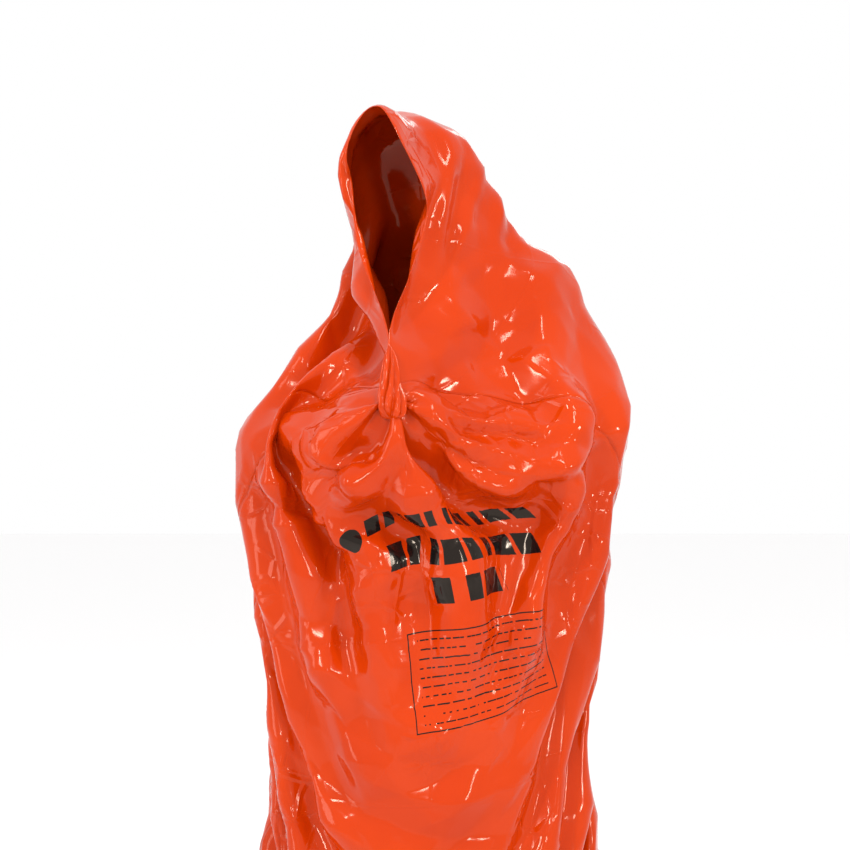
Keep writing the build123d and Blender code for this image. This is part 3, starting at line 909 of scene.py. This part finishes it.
def print_mask(tree, across, along):
    """One where ink lies: a disc, three rows of plain blocks, and a thin frame filled with ruled dashes.
    Each is made of bands in the print's own x and y, and the largest of them all is taken."""
    p = settings().print
    from_middle_line = node(tree, "Math.SUBTRACT", (across, p.middle))[0]
    from_top = node(tree, "Math.SUBTRACT", (p.top, along))[0]
    upright = node(tree, "CombineXYZ", (from_middle_line, from_top))[0]
    turned = node(tree, "VectorRotate", {0: upright, "Angle": p.turn}, rotation_type="Z_AXIS")[0]
    x, y = node(tree, "SeparateXYZ", (turned,))[:2]

    def box(top, width, height):
        sides, ends = band(tree, x, 0.0, width / 2), band(tree, y, top + height / 2, height / 2)
        return node(tree, "Math.MULTIPLY", (sides, ends))[0]

    disc_middle = (-p.headline_width / 2 - DISC_GAP, p.disc_height / 2, 0)
    away = node(tree, "VectorMath.DISTANCE", (turned, disc_middle))["Value"]
    masks = [node(tree, "Math.LESS_THAN", (away, p.disc_height * DISC_RADIUS))[0]]
    for drop, width, height, blocks, gap in [(0.0, p.headline_width, *FIRST_LINE), *LOWER_LINES]:
        sway = node(tree, "Math.MULTIPLY", (x, SWAY_WAVES * blocks / width))[0]
        sway = node(tree, "Math.SINE", (sway,))[0]
        cell = node(tree, "Math.ADD", (x, width / 2))[0]
        cell = node(tree, "Math.MULTIPLY", (cell, blocks / width))[0]
        cell = node(tree, "Math.MULTIPLY_ADD", (sway, SWAY, cell))[0]
        part = node(tree, "Math.FRACT", (cell,))[0]
        inked = node(tree, "Math.LESS_THAN", (part, 1 - gap))[0]
        masks.append(node(tree, "Math.MULTIPLY", (box(drop, width, height), inked))[0])
    outer = box(NOTICE_TOP, p.notice_width, p.notice_height)
    inner = box(NOTICE_TOP + FRAME_LINE, p.notice_width - 2 * FRAME_LINE, p.notice_height - 2 * FRAME_LINE)
    masks.append(node(tree, "Math.SUBTRACT", (outer, inner))[0])
    rules_top = NOTICE_TOP + TOP_MARGIN
    written = box(rules_top, p.notice_width - 2 * SIDE_MARGIN, p.notice_height - 2 * TOP_MARGIN)
    row = node(tree, "Math.SUBTRACT", (y, rules_top))[0]
    row = node(tree, "Math.DIVIDE", (row, RULE_PITCH))[0]
    number = node(tree, "Math.FLOOR", (row,))[0]
    number = node(tree, "Math.MULTIPLY", (number, NEXT_RULE))[0]
    run = node(tree, "Math.MULTIPLY", (x, DASHES))[0]
    where = node(tree, "CombineXYZ", (run, number))[0]
    noise = node(tree, "TexNoise", {"Vector": where, "Scale": 1.0, "Detail": 0.0})[0]
    dash = node(tree, "Math.GREATER_THAN", (noise, DASH_LEVEL))[0]
    part = node(tree, "Math.FRACT", (row,))[0]
    on_rule = node(tree, "Math.LESS_THAN", (part, RULE_SHARE))[0]
    for inked in (on_rule, dash):
        written = node(tree, "Math.MULTIPLY", (written, inked))[0]
    ink = written
    for mask in masks:
        ink = node(tree, "Math.MAXIMUM", (ink, mask))[0]
    return ink


def plain_material(name, colour, roughness):
    """Matt painted board, for the floor."""
    material, _, shader = blank_material(name)
    shader.inputs["Base Color"].default_value = linear(colour)
    shader.inputs["Roughness"].default_value = roughness
    return material


# ---- pieces --------------------------------------------------------------------------------------
def bend_with_hood(piece):
    """Bakes the piece's placement into its points, so that it sits at the origin."""
    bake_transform(piece)


class BAG_OT_film(bpy.types.Operator):
    """Drape the tube of film, and make its front and back"""
    bl_idname = "bag.film"
    bl_label = "Film"

    def execute(self, context):
        film = settings().film
        points = creased(draped_film())
        rows, columns, _ = points.shape
        half = columns // 2
        turn = np.arange(half + 1) / half
        share = np.linspace(0, 1, rows)
        for name, start, printed, nodes in (
                ("front_film", 0, True, ["foot_film_front"] + INK_NODES
                 + [n for n in STANDING_NODES if "front" in n or "left" in n]),
                ("back_film", half, False, ["foot_film_back", "neck_drape"] + HOOD_NODES
                 + [n for n in STANDING_NODES if "back" in n or "right" in n])):
            ply = points[:, (start + np.arange(half + 1)) % columns]
            kept = kept_share((start + np.arange(half + 1)) / columns)
            flat = np.broadcast_arrays(turn[None, :], share[:, None] * kept[None, :])
            uv = np.stack(flat, -1).reshape(-1, 2)
            material = film_material("polythene_film_printed" if printed else "polythene_film", printed)
            piece = make_piece(name, ply.reshape(-1, 3), grid_faces(rows, half + 1), material, uv)
            wall = piece.modifiers.new("wall", "SOLIDIFY")
            wall.thickness = film.thickness
            wall.offset = -1
            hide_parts(*nodes)
            bend_with_hood(piece)
        return {"FINISHED"}


RIB_HEIGHT, RIB_PITCH = 0.0006, 0.012  # ribs that the sealing bars press in
BAND_HEIGHT, RISE, SWING = 0.0012, 0.0008, 0.002  # its middle height, and its waves up and down and sideways


class BAG_OT_weld(bpy.types.Operator):
    """Press the heat-sealed band along the foot end. It is flat, with ribs across it that fade at its edges,
    and waves a little up and down and from side to side"""
    bl_idname = "bag.weld"
    bl_label = "Foot weld"

    def execute(self, context):
        low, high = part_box("foot_weld")
        across = np.linspace(low[0], high[0], 240)
        depth = np.linspace(-1, 1, 13)
        x, d = np.meshgrid(across, depth, indexing="ij")
        ribs = RIB_HEIGHT * np.abs(np.sin(x * TAU / RIB_PITCH))
        z = BAND_HEIGHT + ribs * (1 - d**4) + RISE * np.cos(x * 19)
        y = d * (high[1] - low[1]) / 2 + SWING * np.sin(x * 11)
        uv = np.stack([(x - low[0]) / (high[0] - low[0]), (d + 1) / 2], -1).reshape(-1, 2)
        material = weld_material("polythene_weld")
        piece = make_piece("foot_weld_band", np.stack([x, y, z], -1).reshape(-1, 3),
                           grid_faces(len(across), len(depth))[:, ::-1], material, uv)
        wall = piece.modifiers.new("wall", "SOLIDIFY")
        wall.thickness = 2 * settings().film.thickness
        wall.offset = -1
        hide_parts("foot_weld")
        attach(piece, "bag")
        return {"FINISHED"}


TWIST = 1.3  # how far the pleats turn on their way down, in radians
FLATNESS = 0.75  # the bundle's depth, as a share of its width


class BAG_OT_bunch(bpy.types.Operator):
    """Fold the bunched mouth that the hands hold: a tapered bundle whose radius waves round it in seven main
    pleats, with finer ones between, that turn as they go down"""
    bl_idname = "bag.bunch"
    bl_label = "Bunched mouth"

    def execute(self, context):
        # share of the way down, then middle x, y and z, and radius
        stations = [
            (0.00, -0.058, -0.245, 1.206, 0.000), (0.10, -0.058, -0.250, 1.197, 0.005),
            (0.25, -0.057, -0.258, 1.180, 0.009), (0.50, -0.056, -0.266, 1.152, 0.012),
            (0.75, -0.054, -0.277, 1.128, 0.016), (0.92, -0.054, -0.280, 1.108, 0.012),
            (1.00, -0.055, -0.276, 1.100, 0.000)]
        rows, columns = 64, 96
        t, angle = np.meshgrid(np.linspace(0, 1, rows), np.arange(columns) / columns * TAU, indexing="ij")
        at = through(stations, t)
        turned = angle + TWIST * t
        radius = at[..., 3] * (1 + 0.28 * np.cos(7 * turned) + 0.12 * np.cos(13 * turned + 4 * t)
                               + 0.10 * np.sin(3 * angle + 9 * t))
        x = at[..., 0] + radius * np.cos(angle)
        y = at[..., 1] + radius * np.sin(angle) * FLATNESS
        z = at[..., 2] + 0.3 * radius * np.sin(2 * angle)
        faces = grid_faces(rows, columns, closed=True)[:, ::-1]
        uv = np.stack([angle / TAU, t], -1).reshape(-1, 2)
        piece = make_piece("mouth_bunch", np.stack([x, y, z], -1).reshape(-1, 3), faces,
                           film_material("polythene_bunched", False), uv)
        close_poles(piece)
        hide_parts("mouth_gather")
        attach(piece, "bag")
        return {"FINISHED"}


# Strip lights, for the long highlights that creased film shows: name, place, width in metres and power in
# watts.
LAMPS = [("key", (-1.7, -3.0, 2.7), 0.26, 32), ("side", (2.7, -2.3, 1.9), 0.22, 30),
         ("top", (0.5, -1.4, 3.4), 0.30, 24), ("behind", (0.9, 2.8, 2.5), 0.45, 5),
         ("left", (-2.8, -1.2, 1.9), 0.80, 26), ("front", (0.9, -3.4, 1.5), 0.20, 16)]
LAMP_HEIGHT = 3.0  # in widths
LAMP_AIM = Vector((0, 0, 1.0))
FLOOR_HALF = 9.0


class BAG_OT_stage(bpy.types.Operator):
    """Set the floor, the lights and the camera"""
    bl_idname = "bag.stage"
    bl_label = "Stage"

    def execute(self, context):
        s = settings().stage
        scene = context.scene
        scene.view_settings.view_transform = "Standard"
        world = bpy.data.worlds.new("studio")
        world.use_nodes = True
        background = world.node_tree.nodes["Background"]
        background.inputs["Color"].default_value = (1.0, 1.0, 1.0, 1.0)
        background.inputs["Strength"].default_value = 1.0
        scene.world = world
        corners = np.array([(-1, -1, 0), (1, -1, 0), (1, 1, 0), (-1, 1, 0)], float) * FLOOR_HALF
        board = plain_material("floor_board", s.floor, roughness=0.6)
        floor = make_piece("floor", corners, np.array([[0, 1, 2, 3]]), board)
        for name, place, size, power in LAMPS:
            light = bpy.data.lights.new(name, "AREA")
            light.shape = "RECTANGLE"
            light.size, light.size_y = size, size * LAMP_HEIGHT
            light.energy = power
            lamp = bpy.data.objects.new(name, light)
            lamp.location = place
            lamp.rotation_euler = (LAMP_AIM - Vector(place)).to_track_quat("-Z", "Y").to_euler()
            scene.collection.objects.link(lamp)
        camera = bpy.data.cameras.new("camera")
        camera.lens = s.lens
        seen = bpy.data.objects.new("camera", camera)
        tilt = math.radians(s.elevation)
        aim = Vector(s.aim)
        seen.location = aim + Vector((0, -math.cos(tilt), math.sin(tilt))) * s.distance
        seen.rotation_euler = (aim - seen.location).to_track_quat("-Z", "Y").to_euler()
        scene.collection.objects.link(seen)
        scene.camera = seen
        return {"FINISHED"}


class BAG_PT_panel(bpy.types.Panel):
    """Lists the steps that make the bag, and their settings"""
    bl_idname = "BAG_PT_panel"
    bl_label = "Survival Bag"
    bl_space_type = "VIEW_3D"
    bl_region_type = "UI"
    bl_category = "Survival Bag"

    def draw(self, context):
        bag = context.scene.survival_bag
        for operator in OPERATORS:
            self.layout.operator(operator.bl_idname)
        for group in (bag.film, bag.print, bag.finish, bag.stage):
            box = self.layout.box()
            for key in group.bl_rna.properties.keys():
                if key not in {"rna_type", "name"}:
                    box.prop(group, key)


class BagSettings(bpy.types.PropertyGroup):
    film: bpy.props.PointerProperty(type=FilmSettings)
    print: bpy.props.PointerProperty(type=PrintSettings)
    finish: bpy.props.PointerProperty(type=FinishSettings)
    stage: bpy.props.PointerProperty(type=StageSettings)


OPERATORS = (BAG_OT_stage, BAG_OT_film, BAG_OT_weld, BAG_OT_bunch)
CLASSES = (FilmSettings, PrintSettings, FinishSettings, StageSettings, BagSettings, *OPERATORS,
           BAG_PT_panel)


def register():
    for cls in CLASSES:
        bpy.utils.register_class(cls)
    bpy.types.Scene.survival_bag = bpy.props.PointerProperty(type=BagSettings)


def unregister():
    del bpy.types.Scene.survival_bag
    for cls in reversed(CLASSES):
        bpy.utils.unregister_class(cls)


def main():
    register()
    bpy.ops.bag.stage()
    bpy.ops.bag.film()
    bpy.ops.bag.weld()
    bpy.ops.bag.bunch()


if __name__ == "__main__":
    main()
